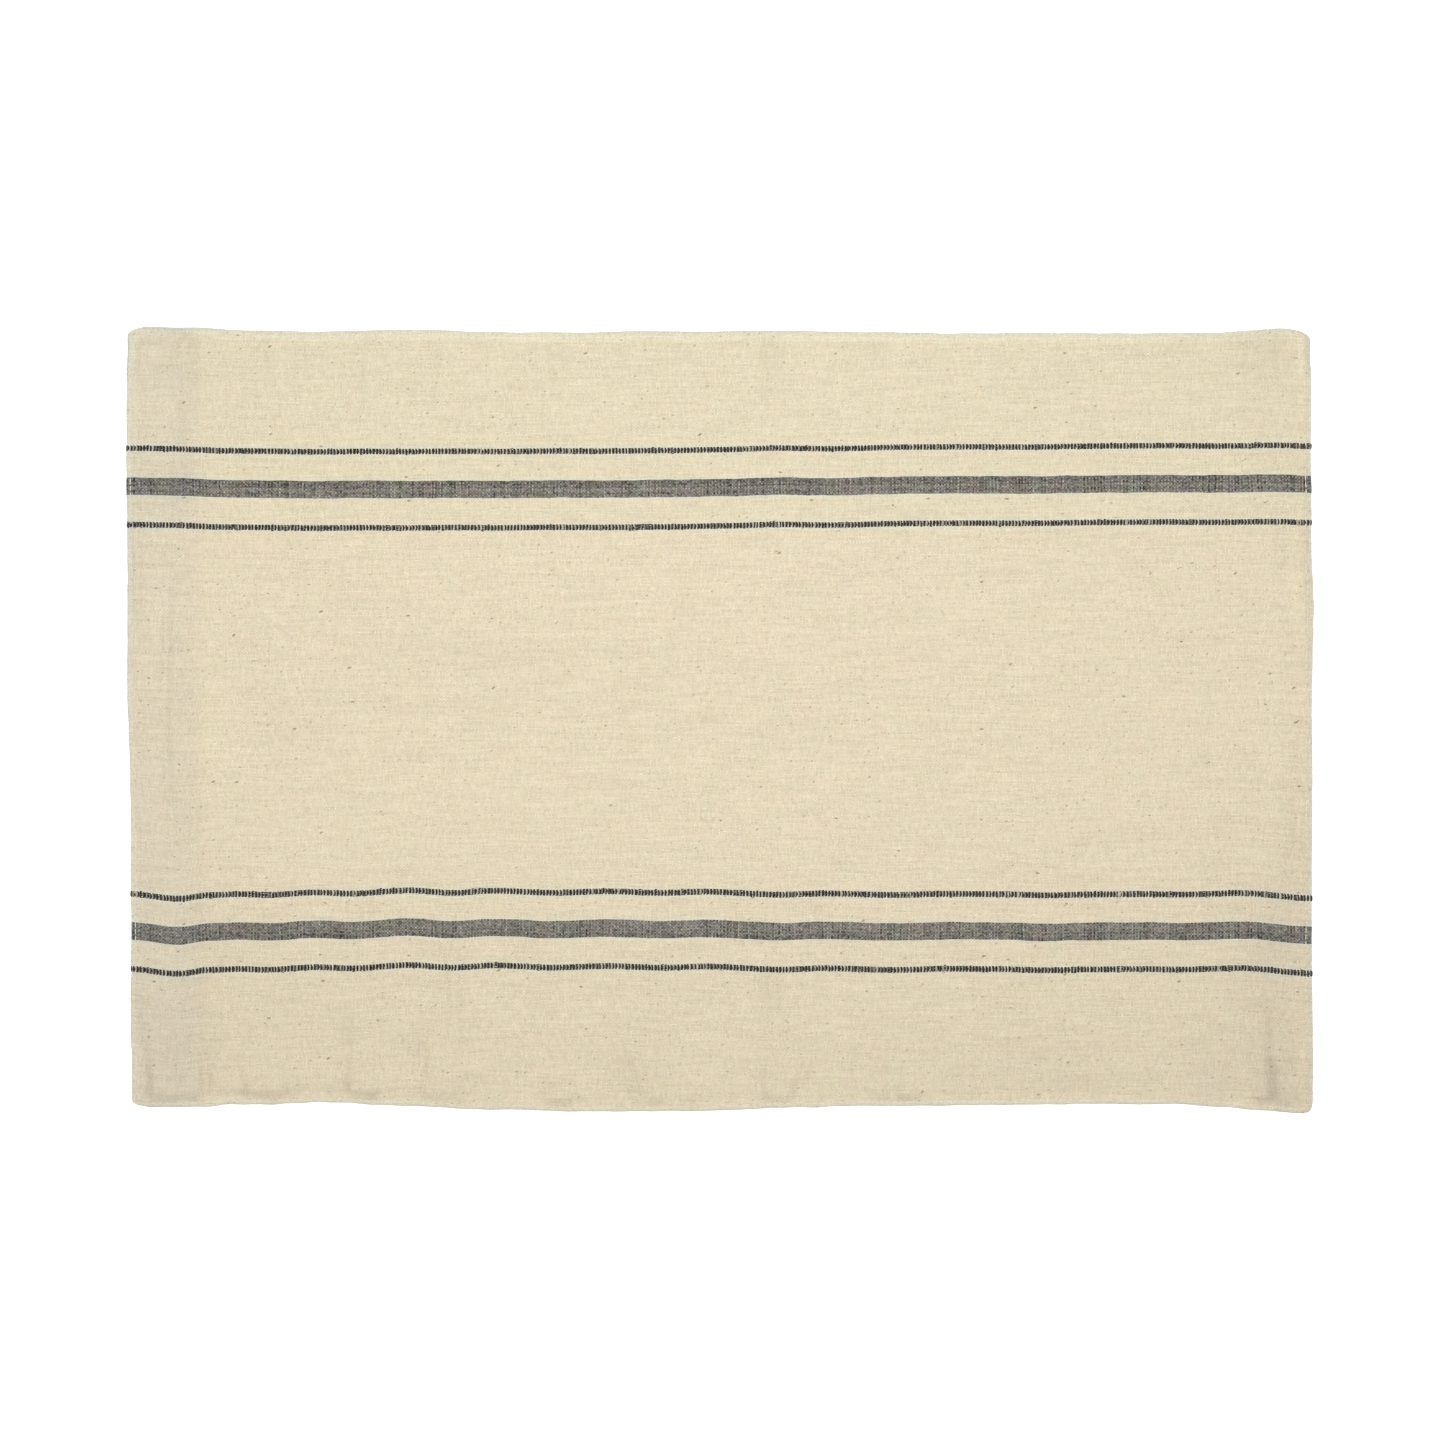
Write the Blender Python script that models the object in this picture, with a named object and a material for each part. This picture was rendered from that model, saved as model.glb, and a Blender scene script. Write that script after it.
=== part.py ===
"""A woven cotton placemat, lying flat.

The mat is one cloth solid, about 457 x 303 mm. Its long side runs along X, its
short side along Y, and it rests on z = 0. The cloth was sewn round its edge and
pressed by hand, so no edge is quite straight, each corner is rounded its own way,
the sewn border is a little thicker than the middle, and the top has soft creases,
with low puffs beside the stitching.
"""

from collections import namedtuple
from math import cos, exp, radians, sin, sqrt

import bmesh
import bpy

MM = 0.001

# The rectangle that the edges wander about.
WIDTH = 455.9 * MM
LENGTH = 299.3 * MM

# Thickness of the cloth, and the border where the cloth is turned in and sewn.
CLOTH_THICKNESS = 1.4 * MM
BORDER_EXTRA = 0.5 * MM
BORDER_WIDTH = 15.4 * MM
BORDER_FADE = 12.0 * MM

# The rolled edge of the border.
EDGE_ROLL = 1.2 * MM
EDGE_MIDDLE = 0.8 * MM
UNDERSIDE_INSET = 0.6 * MM

# Lines of the mesh: set distances in from each edge, then an even spacing, which is
# closer along the mat because most folds run across it.
LINES_FROM_SIDE = [d * MM for d in (0.0, 0.35, 1.2, 2.6, 5.6, 9.0, 12.3, 15.7, 19.2, 23.0)]
LINES_FROM_END = [d * MM for d in (0.0, 0.35, 1.2, 2.6, 5.0, 8.0, 12.0, 17.0, 23.0)]
SPACING_ALONG = 4.8 * MM
SPACING_ACROSS = 8.0 * MM

# How far each edge stands out of the rectangle, in mm, at places along it in mm
# from the middle of the side. The places are the crests and hollows of the edge.
Station = namedtuple("Station", "along out")
TOP_EDGE = [
    Station(along=-222, out=1.8),
    Station(along=-202, out=1.45),
    Station(along=-182, out=0.3),
    Station(along=-157, out=-0.1),
    Station(along=-119, out=0.6),
    Station(along=-78, out=-0.4),
    Station(along=-52, out=-0.5),
    Station(along=-30, out=0.2),
    Station(along=-4, out=-0.2),
    Station(along=22, out=0.3),
    Station(along=48, out=-0.2),
    Station(along=100, out=-0.8),
    Station(along=119, out=-0.6),
    Station(along=152, out=-0.8),
    Station(along=182, out=-0.7),
    Station(along=220, out=1.0),
]
BOTTOM_EDGE = [
    Station(along=-203, out=-0.75),
    Station(along=-188, out=-1.9),
    Station(along=-177, out=-1.75),
    Station(along=-154, out=-2.55),
    Station(along=-120, out=-1.2),
    Station(along=-95, out=0.1),
    Station(along=-80, out=0.2),
    Station(along=-57, out=1.0),
    Station(along=-10, out=0.75),
    Station(along=30, out=-0.65),
    Station(along=56, out=-1.25),
    Station(along=70, out=-1.15),
    Station(along=104, out=-1.6),
    Station(along=122, out=-1.7),
    Station(along=146, out=-2.1),
    Station(along=162, out=-1.75),
    Station(along=175, out=-1.9),
    Station(along=190, out=-0.95),
    Station(along=210, out=0.55),
    Station(along=222, out=1.7),
]
LEFT_EDGE = [
    Station(along=-145, out=-1.75),
    Station(along=-108, out=-1.2),
    Station(along=-84, out=-1.5),
    Station(along=-50, out=-1.35),
    Station(along=-24, out=-0.95),
    Station(along=14, out=0.1),
    Station(along=64, out=0.1),
    Station(along=94, out=0.35),
    Station(along=130, out=0.4),
    Station(along=146, out=-0.05),
]
RIGHT_EDGE = [
    Station(along=-145, out=0.05),
    Station(along=-130, out=0.25),
    Station(along=-92, out=-0.2),
    Station(along=-56, out=-0.2),
    Station(along=-30, out=-0.05),
    Station(along=4, out=-0.2),
    Station(along=22, out=0.0),
    Station(along=43, out=0.6),
    Station(along=66, out=-0.4),
    Station(along=84, out=-0.3),
    Station(along=98, out=-0.6),
    Station(along=130, out=-0.6),
    Station(along=143, out=-0.95),
]

# How much of each corner is rounded off, in mm along X and along Y.
Corner = namedtuple("Corner", "side end reach_x reach_y")
CORNERS = [
    Corner(side=-1, end=1, reach_x=9.5, reach_y=3.8),
    Corner(side=1, end=1, reach_x=10.5, reach_y=4.5),
    Corner(side=-1, end=-1, reach_x=9.5, reach_y=2.5),
    Corner(side=1, end=-1, reach_x=4.0, reach_y=3.4),
]

# Soft creases in the top: the middle, half length and half width in mm, the turn
# from X in degrees, and the rise in mm, which is negative for a trough. The last two
# are the ridge and the trough of the one deep fold, near a corner.
Crease = namedtuple("Crease", "x y half_length half_width turn rise")
CREASES = [
    Crease(x=-213, y=20, half_length=34, half_width=5, turn=90, rise=-0.28),
    Crease(x=-203, y=-125, half_length=20, half_width=5, turn=88, rise=-0.30),
    Crease(x=-145, y=-132, half_length=17, half_width=6, turn=84, rise=-0.25),
    Crease(x=-104, y=-130, half_length=20, half_width=8, turn=94, rise=-0.25),
    Crease(x=-60, y=-134, half_length=14, half_width=7, turn=90, rise=0.22),
    Crease(x=-31, y=-133, half_length=15, half_width=6, turn=82, rise=-0.25),
    Crease(x=24, y=-130, half_length=20, half_width=7, turn=98, rise=-0.30),
    Crease(x=95, y=-126, half_length=18, half_width=10, turn=8, rise=-0.22),
    Crease(x=212, y=-130, half_length=20, half_width=5, turn=91, rise=-0.35),
    Crease(x=222, y=-42, half_length=24, half_width=5, turn=90, rise=-0.25),
    Crease(x=197, y=128, half_length=20, half_width=7, turn=86, rise=-0.22),
    Crease(x=20, y=128, half_length=24, half_width=6, turn=92, rise=-0.20),
    Crease(x=-126, y=130, half_length=20, half_width=7, turn=90, rise=-0.18),
    Crease(x=-214, y=138, half_length=14, half_width=5, turn=52, rise=0.25),
    Crease(x=-95, y=25, half_length=34, half_width=7, turn=3, rise=-0.20),
    Crease(x=-122, y=6, half_length=34, half_width=7, turn=0, rise=-0.20),
    Crease(x=18, y=-8, half_length=42, half_width=8, turn=-5, rise=-0.24),
    Crease(x=208.8, y=-140, half_length=17, half_width=4.0, turn=95, rise=0.95),
    Crease(x=215.6, y=-140, half_length=18, half_width=4.4, turn=90, rise=-0.70),
]

# Puffs beside the stitching, where the cloth stands up between two tight places: the
# middle and half width along the edge, the reach in from the edge, the lean of the
# middle as it goes in, and the rise, in mm.
Puff = namedtuple("Puff", "x end half_width inwards lean rise")
PUFFS = [
    Puff(x=-210.5, end=-1, half_width=10.7, inwards=21, lean=0.0, rise=1.00),
    Puff(x=-176, end=-1, half_width=8.0, inwards=9, lean=0.0, rise=0.90),
    Puff(x=-138.3, end=-1, half_width=6.0, inwards=17, lean=0.0, rise=0.95),
    Puff(x=-105.5, end=-1, half_width=9.7, inwards=18, lean=0.0, rise=0.80),
    Puff(x=-26, end=-1, half_width=6.5, inwards=15, lean=-0.35, rise=0.75),
    Puff(x=21.5, end=-1, half_width=6.4, inwards=16, lean=0.10, rise=0.85),
]
PUFF_WALL = 4.8 * MM
SEAM_WALL = 5.0 * MM

COTTON_COLOUR = (0.79, 0.70, 0.51, 1.0)
COTTON_ROUGHNESS = 0.92


def clear_scene():
    """Removes every object, so that only the placemat is left at the end."""
    for obj in list(bpy.data.objects):
        bpy.data.objects.remove(obj, do_unlink=True)


def eased(share):
    """A share from 0 to 1, with a level start and end."""
    share = min(max(share, 0.0), 1.0)
    return share * share * (3 - 2 * share)


def stands_out(edge, along):
    """How far an edge stands out at a place along it, easing from crest to hollow."""
    along_mm = along / MM
    if along_mm <= edge[0].along:
        return edge[0].out * MM
    for before, after in zip(edge, edge[1:]):
        if along_mm <= after.along:
            share = (along_mm - before.along) / (after.along - before.along)
            return (before.out + (after.out - before.out) * eased(share)) * MM
    return edge[-1].out * MM


def rounded(x, y):
    """Draws the corners of the rectangle in, so that each is a quarter of an ellipse."""
    for corner in CORNERS:
        reach_x, reach_y = corner.reach_x * MM, corner.reach_y * MM
        past_x = 1 - (WIDTH / 2 - corner.side * x) / reach_x
        past_y = 1 - (LENGTH / 2 - corner.end * y) / reach_y
        if past_x > 0 and past_y > 0:
            round_x = past_x * sqrt(1 - past_y**2 / 2)
            round_y = past_y * sqrt(1 - past_x**2 / 2)
            x = corner.side * (WIDTH / 2 - reach_x * (1 - round_x))
            y = corner.end * (LENGTH / 2 - reach_y * (1 - round_y))
    return x, y


def laid_out(x, y):
    """Where a point of the straight rectangle lies once the edges are uneven."""
    round_x, round_y = rounded(x, y)
    to_right, to_top = round_x / WIDTH + 0.5, round_y / LENGTH + 0.5
    shift_x = to_right * stands_out(RIGHT_EDGE, y) - (1 - to_right) * stands_out(LEFT_EDGE, y)
    shift_y = to_top * stands_out(TOP_EDGE, x) - (1 - to_top) * stands_out(BOTTOM_EDGE, x)
    return round_x + shift_x, round_y + shift_y


def crease_rise(x, y):
    """The height that the soft creases add to the top, or take from it."""
    rise = 0.0
    for crease in CREASES:
        turn = radians(crease.turn)
        from_x, from_y = x / MM - crease.x, y / MM - crease.y
        along = from_x * cos(turn) + from_y * sin(turn)
        across = from_y * cos(turn) - from_x * sin(turn)
        fall = (along / crease.half_length) ** 2 + (across / crease.half_width) ** 2
        rise += crease.rise * MM * exp(-fall)
    return rise


def puff_rise(x, y):
    """The height that the puffs beside the stitching add to the top."""
    rise = 0.0
    for puff in PUFFS:
        from_end = LENGTH / 2 - puff.end * y
        sideways = abs(x - puff.x * MM - puff.lean * from_end)
        side = eased((puff.half_width * MM - sideways) / PUFF_WALL + 0.5)
        rise += puff.rise * MM * side * exp(-((from_end / MM / puff.inwards) ** 2))
    return rise


def top_height(x, y):
    """The height of the top: border, creases, puffs, and the roll of the sewn edge."""
    inside = max(min(WIDTH / 2 - abs(x), LENGTH / 2 - abs(y)), 0.0)
    border = BORDER_EXTRA * (1 - eased((inside - BORDER_WIDTH) / BORDER_FADE + 0.5))
    folds = (crease_rise(x, y) + puff_rise(x, y)) * eased((inside - EDGE_ROLL) / SEAM_WALL)
    full = CLOTH_THICKNESS + border + folds
    if inside >= EDGE_ROLL:
        return full
    roll = sqrt(1 - (1 - inside / EDGE_ROLL) ** 2)
    return EDGE_MIDDLE + (full - EDGE_MIDDLE) * roll


def mesh_lines(size, near_edge, spacing):
    """Places of the mesh lines across one side, close together near its two edges."""
    first = [-size / 2 + d for d in near_edge]
    middle = size - 2 * near_edge[-1]
    steps = round(middle / spacing)
    between = [first[-1] + middle * i / steps for i in range(1, steps)]
    return first + between + [-place for place in reversed(first)]


def make_top(bm):
    """Lays a grid out as the cloth's top, and returns each vertex's place in the rectangle."""
    lines_x = mesh_lines(WIDTH, LINES_FROM_SIDE, SPACING_ALONG)
    lines_y = mesh_lines(LENGTH, LINES_FROM_END, SPACING_ACROSS)
    steps_x, steps_y = len(lines_x) - 1, len(lines_y) - 1
    bmesh.ops.create_grid(bm, x_segments=steps_x, y_segments=steps_y, size=1.0)
    places = {}
    for vertex in bm.verts:
        x = lines_x[round((vertex.co.x + 1) / 2 * steps_x)]
        y = lines_y[round((vertex.co.y + 1) / 2 * steps_y)]
        vertex.co = (*laid_out(x, y), top_height(x, y))
        places[vertex] = (x, y)
    return places


def close_underside(bm, places):
    """Carries the edge round under the cloth and closes the flat underside."""
    rim = [edge for edge in bm.edges if edge.is_boundary]
    carried = bmesh.ops.extrude_edge_only(bm, edges=rim)["geom"]
    scale_x = 1 - UNDERSIDE_INSET / (WIDTH / 2)
    scale_y = 1 - UNDERSIDE_INSET / (LENGTH / 2)
    for vertex in [part for part in carried if isinstance(part, bmesh.types.BMVert)]:
        neighbours = [edge.other_vert(vertex) for edge in vertex.link_edges]
        x, y = next(places[above] for above in neighbours if above in places)
        vertex.co = (*laid_out(x * scale_x, y * scale_y), 0.0)
    lower_rim = [edge for edge in bm.edges if edge.is_boundary]
    bmesh.ops.edgeloop_fill(bm, edges=lower_rim)


def cotton_material():
    """Natural unbleached cotton."""
    material = bpy.data.materials.new("natural_cotton")
    material.use_nodes = True
    shader = material.node_tree.nodes["Principled BSDF"]
    shader.inputs["Base Color"].default_value = COTTON_COLOUR
    shader.inputs["Roughness"].default_value = COTTON_ROUGHNESS
    shader.inputs["Metallic"].default_value = 0.0
    return material


def make_placemat(collection):
    """The one cloth solid."""
    bm = bmesh.new()
    places = make_top(bm)
    close_underside(bm, places)
    bmesh.ops.recalc_face_normals(bm, faces=bm.faces)
    mesh = bpy.data.meshes.new("placemat_cloth")
    bm.to_mesh(mesh)
    bm.free()
    mesh.shade_smooth()
    mesh.set_sharp_from_angle(angle=radians(60))
    cloth = bpy.data.objects.new("placemat_cloth", mesh)
    cloth.data.materials.append(cotton_material())
    collection.objects.link(cloth)


def main():
    clear_scene()
    collection = bpy.data.collections.new("placemat")
    bpy.context.scene.collection.children.link(collection)
    make_placemat(collection)


main()
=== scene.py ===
"""A woven cotton placemat lying flat on a pale table.

The sections follow the mat as it is made: the cloth, the corded stripes that stand up
from it, and the edge stitching. The camera comes first, and the table and the lights last.

Places on the mat are in millimetres from its middle, X along its long side and Y
along its short side, and become metres where a mesh is made.
"""

from collections import namedtuple
from functools import partialmethod
from math import pi, radians

import bmesh
import bpy
import numpy as np
from mathutils import Matrix, Vector


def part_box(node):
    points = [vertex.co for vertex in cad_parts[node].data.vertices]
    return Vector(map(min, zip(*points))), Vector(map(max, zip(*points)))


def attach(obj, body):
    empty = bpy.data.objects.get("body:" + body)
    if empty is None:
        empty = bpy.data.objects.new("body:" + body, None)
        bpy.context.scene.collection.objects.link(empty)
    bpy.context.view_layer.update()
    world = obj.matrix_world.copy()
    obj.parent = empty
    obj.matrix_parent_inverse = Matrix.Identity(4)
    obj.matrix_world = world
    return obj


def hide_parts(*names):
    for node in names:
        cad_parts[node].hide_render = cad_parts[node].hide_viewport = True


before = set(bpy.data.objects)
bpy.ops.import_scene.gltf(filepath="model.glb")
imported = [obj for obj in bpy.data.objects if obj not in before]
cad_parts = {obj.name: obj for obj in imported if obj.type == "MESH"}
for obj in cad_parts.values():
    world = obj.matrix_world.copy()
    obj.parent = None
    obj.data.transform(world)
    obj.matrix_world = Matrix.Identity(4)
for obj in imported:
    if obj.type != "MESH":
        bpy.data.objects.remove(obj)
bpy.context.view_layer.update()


# ----------------------------------------------------------
# The camera looks straight down at the middle of the mat from well above it, with a
# long lens, so that the mat's edges show no perspective.

MM = 0.001
CAMERA_HEIGHT = 1.6
CLEAR_EACH_SIDE = 48.17 * MM
SENSOR_WIDTH = 36.0


def put_in_scene(name, data):
    """A new object of this name, in the scene."""
    made = bpy.data.objects.new(name, data)
    bpy.context.scene.collection.objects.link(made)
    return made


cloth_low, cloth_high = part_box("placemat_cloth")
view_width = cloth_high.x - cloth_low.x + 2 * CLEAR_EACH_SIDE
camera_data = bpy.data.cameras.new("camera")
camera_data.sensor_width = SENSOR_WIDTH
camera_data.lens = SENSOR_WIDTH * (CAMERA_HEIGHT - cloth_high.z) / view_width
camera = put_in_scene("camera", camera_data)
camera.location = (0, 0, CAMERA_HEIGHT)
bpy.context.scene.camera = camera
bpy.context.scene.view_settings.view_transform = "Standard"


# ----------------------------------------------------------
# The cloth. Two panels of plain weave cotton, cream, with charcoal picks woven in for
# the wide stripes. They were sewn right sides together and turned, so the border
# holds four layers, its edge is a soft roll, and the stitching draws a groove in it.

WIDTH = 455.9
LENGTH = 299.3
CLOTH_THICKNESS = 1.4
BORDER_EXTRA = 0.5
BORDER_WIDTH = 15.4
BORDER_FADE = 12.0
EDGE_ROLL = 1.2
EDGE_MIDDLE = 0.8
UNDERSIDE_ROLL = 0.8

# How far each edge stands out of the straight rectangle. Each pair is a crest or a
# hollow: its place along the edge, and how far out it is.
TOP_EDGE = [
    (-222, 1.8), (-202, 1.45), (-182, 0.3), (-157, -0.1), (-119, 0.6), (-78, -0.4),
    (-52, -0.5), (-30, 0.2), (-4, -0.2), (22, 0.3), (48, -0.2), (100, -0.8), (119, -0.6),
    (152, -0.8), (182, -0.7), (220, 1.0),
]
BOTTOM_EDGE = [
    (-203, -0.75), (-188, -1.9), (-177, -1.75), (-154, -2.55), (-120, -1.2), (-95, 0.1),
    (-80, 0.2), (-57, 1.0), (-10, 0.75), (30, -0.65), (56, -1.25), (70, -1.15), (104, -1.6),
    (122, -1.7), (146, -2.1), (162, -1.75), (175, -1.9), (190, -0.95), (210, 0.55),
    (222, 1.7),
]
LEFT_EDGE = [
    (-145, -1.75), (-108, -1.2), (-84, -1.5), (-50, -1.35), (-24, -0.95), (14, 0.1),
    (64, 0.1), (94, 0.35), (130, 0.4), (146, -0.05),
]
RIGHT_EDGE = [
    (-145, 0.05), (-130, 0.25), (-92, -0.2), (-56, -0.2), (-30, -0.05), (4, -0.2),
    (22, 0.0), (43, 0.6), (66, -0.4), (84, -0.3), (98, -0.6), (130, -0.6), (143, -0.95),
]
EDGE_WOBBLE = 0.07
SIDE_WOBBLE_SPACING = 11
END_WOBBLE_SPACING = 13

# Which corner it is, along and across the mat, and how far its rounding reaches each way.
CORNERS = [
    (-1, 1, 9.5, 3.8), (1, 1, 10.5, 4.5), (-1, -1, 9.5, 2.5), (1, -1, 4.0, 3.4),
]

# Soft creases, each a long low ridge, or a trough where the rise is negative. A row holds
# the place of its middle, its half length and half width, the turn of its line in degrees,
# and its rise.
CREASES = [
    (-213, 20, 34, 5, 90, -0.28), (-203, -125, 20, 5, 88, -0.30),
    (-145, -132, 17, 6, 84, -0.25), (-104, -130, 20, 8, 94, -0.25),
    (-60, -134, 14, 7, 90, 0.22), (-31, -133, 15, 6, 82, -0.25), (24, -130, 20, 7, 98, -0.30),
    (95, -126, 18, 10, 8, -0.22), (212, -130, 20, 5, 91, -0.35), (222, -42, 24, 5, 90, -0.25),
    (197, 128, 20, 7, 86, -0.22), (20, 128, 24, 6, 92, -0.20), (-126, 130, 20, 7, 90, -0.18),
    (-214, 138, 14, 5, 52, 0.25), (-95, 25, 34, 7, 3, -0.20), (-122, 6, 34, 7, 0, -0.20),
    (18, -8, 42, 8, -5, -0.24),
]

# Tucks: short narrow creases where the stitching or the turning drew the cloth in.
TUCKS = [
    (208.6, -139, 19, 4.4, 95, 1.25), (215.8, -139, 21, 4.6, 90, -1.05),
    (212.8, -112, 18, 2.6, 90, -0.35), (219, -146.0, 6, 2.2, 8, -0.75),
    (-223, -134, 10, 2.3, 102, -0.75), (-199.5, -141, 6, 2.0, 90, -0.95),
    (-145, -128, 15, 2.1, 87, -0.45), (-115.5, -130, 8, 2.0, 90, -0.75),
    (-103, -104, 18, 2.8, 90, -0.55), (-36, -134, 9, 2.1, 114, -0.75),
    (15, -139, 8, 1.8, 90, -0.40), (30.5, -138, 9, 2.0, 68, -0.45),
    (20, -108, 17, 2.8, 90, -0.60), (-176, 139, 9, 2.4, 90, -0.45),
    (-161, 141, 7, 2.2, 90, -0.40), (-139, 128, 14, 2.4, 88, -0.45),
    (-110, 140, 9, 2.4, 91, -0.40), (-62, 140, 9, 2.6, 90, -0.45),
    (20, 141, 10, 2.8, 90, -0.65), (62, 141, 8, 2.4, 90, -0.35),
    (-205, 146, 7, 2.8, 80, -1.25), (-208, 112, 22, 2.4, 91, -0.40),
    (-222, 141, 11, 2.4, 62, 0.50), (201, 143, 8, 1.9, 90, -0.42),
    (216, 140, 10, 2.3, 94, -0.68), (216, 66, 18, 2.2, 90, -0.15),
    (224.6, -50, 34, 3.0, 92, -0.50), (-213, 22, 24, 1.7, 89, -0.65),
    (-213.5, -18, 24, 1.7, 93, -0.50), (-225.0, 62, 30, 1.8, 90, -0.85),
]

# Puffs beside the stitching, where the cloth stands up between two tight places: each
# drops steeply at its sides, less so at the seam, and sinks slowly away from it. A row
# holds its place along the mat, its end, its half width, its reach inwards, its lean and
# its rise.
PUFFS = [
    (-210.5, -1, 10.7, 16, -0.05, 1.00), (-176, -1, 8.0, 9, 0.0, 1.25),
    (-138.3, -1, 6.0, 14, -0.10, 1.15), (-105.5, -1, 9.4, 14, -0.08, 0.80),
    (-63, -1, 5.0, 8, 0.0, 0.90), (-26, -1, 6.5, 15, -0.35, 0.95),
    (-12, -1, 4.5, 8, 0.0, 0.42), (21.0, -1, 6.2, 14, 0.12, 1.00), (60, -1, 3.5, 8, 0.0, 0.90),
    (72, -1, 4.5, 9, 0.0, 1.15), (-190, 1, 11.0, 16, 0.0, 0.30), (8, 1, 7.0, 14, 0.0, 0.30),
    (208.5, 1, 6.5, 18, 0.0, 0.45),
]
PUFF_SIDE_WALL = 4.8
PUFF_SEAM_WALL = 5.0

# Painted shade on the walls of the folds, darker where they are steeper. How far apart
# the slope is measured, and how many times the slope the painted shade is.
SLOPE_STEP = 0.3
SHADE_PER_SLOPE = 2.6

# Painted shade and light: where the cloth is painted a little greyer, in place of the shade of
# a fold too small to catch the light, or painted paler where the rise, which is a share of
# its tone, is negative.
SHADES = [
    (-206, -118, 22, 11, 90, 0.035), (-205, 90, 14, 9, 90, 0.050),
    (206, -95, 40, 15, 90, 0.045), (215, -130, 22, 3.5, 93, 0.030),
    (211, -139, 9, 6.5, 90, 0.050), (220, -62, 34, 3.5, 90, 0.026),
    (-190, -145, 7, 2.5, 0, 0.045), (98, -88, 12, 4, 0, -0.030), (140, -88, 10, 4, 0, 0.032),
    (-100, -104, 14, 5, 0, -0.028), (38, -104, 12, 5, 0, -0.026),
    (-130, -147.3, 95, 1.5, 0, -0.034), (110, -147.5, 80, 1.5, 0, -0.030),
    (-224.5, -112, 17, 1.8, 97, 0.045), (-209, 148.5, 9, 2.4, 0, 0.070),
    (209, 136, 10, 7, 0, 0.028), (217, -142, 7, 4, 110, 0.060), (105, -132, 95, 9, 0, 0.030),
    (191, -134, 13, 9, 90, 0.030), (-206, 129, 24, 7, 0, 0.025), (209, 118, 24, 6, 90, 0.030),
    (209, 142, 7, 4, 90, 0.030), (-32, -135, 11, 10, 0, 0.040), (-221, -139, 9, 3, 98, 0.015),
    (-210, -140, 8, 4, 0, 0.022), (-168, -144.5, 26, 2.5, 0, 0.040),
    (-124, -145, 8, 2.5, 0, 0.045), (-106, -140, 8, 4, 0, 0.035),
    (225.5, 62, 34, 1.7, 90, 0.075), (225.5, -50, 36, 1.8, 90, 0.035),
    (-226, 60, 36, 1.6, 90, 0.060), (-226, -10, 26, 1.6, 90, 0.030),
    (-216, 147.5, 10, 2.5, 0, 0.055), (-166, 147.5, 20, 2.5, 0, 0.030),
    (-125, 147, 12, 2.5, 0, 0.028), (215, 146.5, 8, 2.5, 0, 0.045),
    (-208, 82, 12, 5, 0, 0.045), (214, -88, 12, 6, 0, 0.038), (-213, -129, 9, 5, 90, 0.042),
    (184, -138, 8, 5, 90, 0.036), (226, -136, 9, 1.8, 90, 0.040), (214, 66, 36, 3, 90, 0.025),
    (213.5, -72, 24, 4, 90, 0.033), (-216, 36, 24, 7, 90, -0.030),
    (-214, -5, 28, 5, 90, -0.028), (140, 5, 80, 45, 0, -0.011), (-140, 10, 80, 40, 0, -0.010),
    (-150, -48, 60, 16, 0, -0.018), (221.5, 50, 26, 3, 90, -0.050),
    (-194, -13, 32, 7, 90, -0.038), (-178, 82, 16, 9, 0, -0.035),
    (-40, -30, 160, 40, 0, -0.020), (-60, 52, 150, 22, 0, -0.013),
]

# How far the edge stitching lies in from each edge, and the groove that it draws.
SEAM_IN_FROM_LEFT = 1.7
SEAM_IN_FROM_RIGHT = 2.4
SEAM_IN_FROM_TOP = 1.7
SEAM_IN_FROM_BOTTOM = 1.6
GROOVE_DEPTH = 0.14
GROOVE_HALF_WIDTH = 0.50
UNDERSIDE_GROOVE_DEPTH = 0.30

# The cloth's soft waves, and the shorter ones where the stitching puckers it.
WAVE_HEIGHT = 0.05
WAVE_SPACING = 26.0
PUCKER_HEIGHT = 0.05
PUCKER_SPACING = 8.0
PUCKER_REACH = 7.0

# Where the middle of each wide stripe lies, in pairs of a place along the mat and one
# across it. The cloth was never cut quite with its threads, so the stripes wander.
UPPER_BAND = [
    (-228, 89.9), (-212, 89.7), (-190, 88.9), (-151, 88.5), (-138, 88.7), (-124, 88.55),
    (-103, 88.75), (-86, 88.6), (-61, 88.85), (-49, 88.75), (-20, 89.0), (0, 89.35),
    (23, 89.95), (42, 89.7), (74, 90.35), (98, 90.45), (116, 90.35), (150, 90.75),
    (172, 90.9), (188, 90.75), (214, 91.0), (228, 90.6),
]
LOWER_BAND = [
    (-228, -81.0), (-208, -82.95), (-196, -81.5), (-184, -81.1), (-175, -81.45),
    (-155, -80.45), (-142, -80.9), (-119, -79.6), (-103, -80.65), (-87, -79.75),
    (-64, -80.6), (-43, -80.0), (-22, -80.65), (-6, -80.15), (24, -81.4), (39, -80.85),
    (68, -81.5), (86, -81.05), (106, -81.15), (126, -81.65), (142, -81.3), (162, -81.15),
    (178, -81.35), (200, -80.8), (228, -82.8),
]
WARP_PITCH = 0.63
PICKS_BETWEEN_BANDS = 281
BAND_SPACING = 171.1
WEFT_PITCH = BAND_SPACING / PICKS_BETWEEN_BANDS
BAND_PICKS = 11

# The corded stripes: how far the middle of each lies above or below a wide stripe's,
# and how wide it is.
Cord = namedtuple("Cord", "name band offset width")
CORDS = [
    Cord(name="upper_outer", band=UPPER_BAND, offset=14.6, width=2.15),
    Cord(name="upper_inner", band=UPPER_BAND, offset=-14.75, width=2.15),
    Cord(name="lower_inner", band=LOWER_BAND, offset=14.2, width=2.26),
    Cord(name="lower_outer", band=LOWER_BAND, offset=-14.6, width=2.26),
]

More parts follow.
